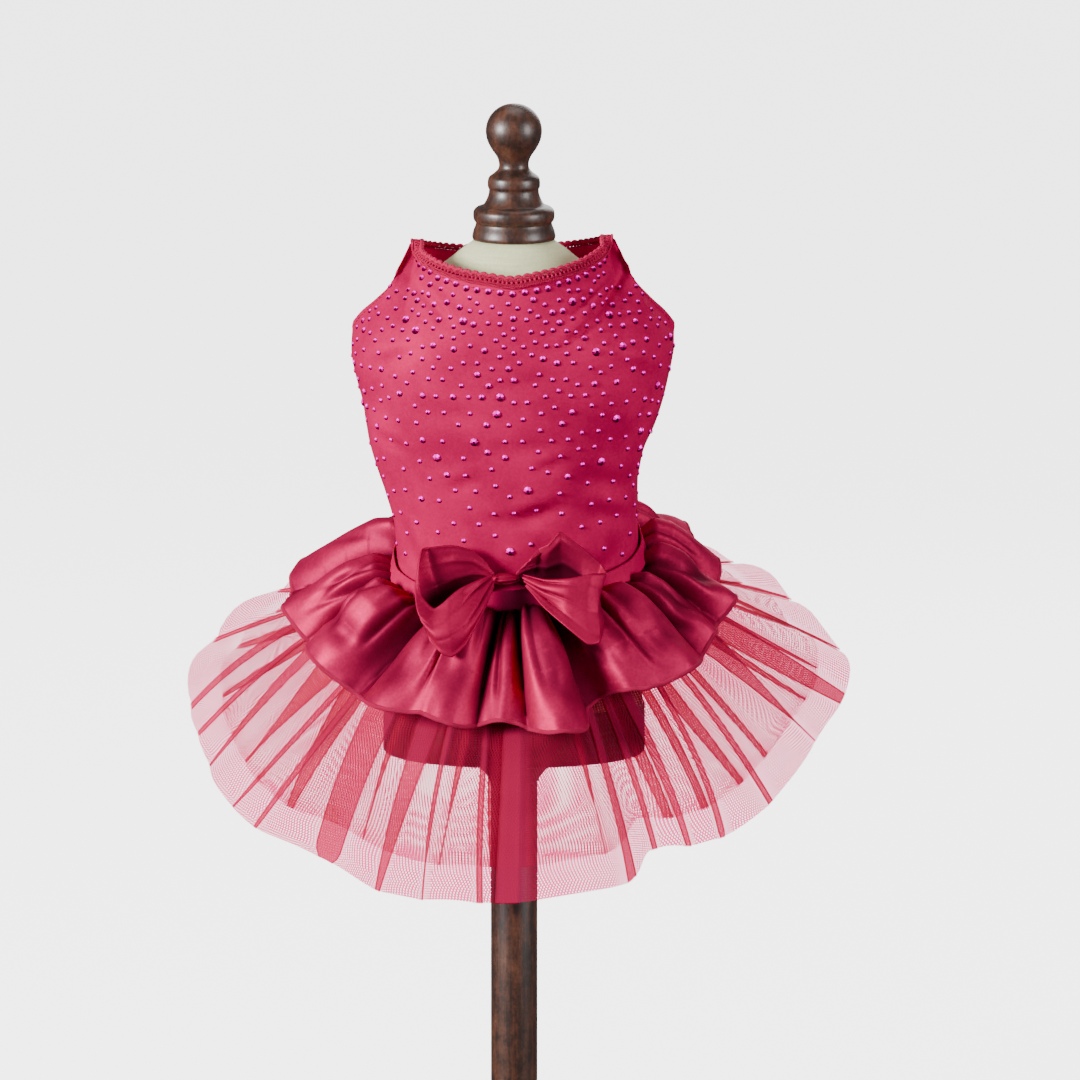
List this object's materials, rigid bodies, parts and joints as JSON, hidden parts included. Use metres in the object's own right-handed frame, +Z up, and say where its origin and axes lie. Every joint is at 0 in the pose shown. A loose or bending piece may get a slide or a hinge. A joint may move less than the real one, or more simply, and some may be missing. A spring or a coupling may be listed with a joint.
{
  "type": "pet party dress on a dress form and stand",
  "caption": "Sleeveless satin cat dress with beads, bow, ruffle and net skirt, worn by a linen dress form with a wooden finial, pole and round base.",
  "frame": {"origin": "middle of the underside of the round stand base", "axes": "+Z up along the pole, -Y towards the side that shows the bow, +X to that side's right"},
  "size_m": [0.3317, 0.295, 0.5532],
  "materials": {
    "satin": "deep pink-red satin with a soft sheen",
    "braid": "crochet braid, matt",
    "net": "open net of fine threads",
    "linen": "cream plain weave",
    "dark_wood": "dark brown stained and varnished"
  },
  "bodies": {
    "root": {"bodice_front": "satin", "bodice_rear": "satin", "closure_flap": "satin", "waist_band": "satin", "ruffle": "satin", "bow_loop_left": "satin", "bow_loop_right": "satin", "bow_knot": "satin", "neck_trim": "braid", "tulle_outer": "net", "tulle_inner": "net", "form_torso": "linen", "neck_finial": "dark_wood", "form_base_plate": "dark_wood", "pole_collar": "dark_wood", "pole": "dark_wood", "stand_base": "dark_wood"}
  },
  "joints": []
}
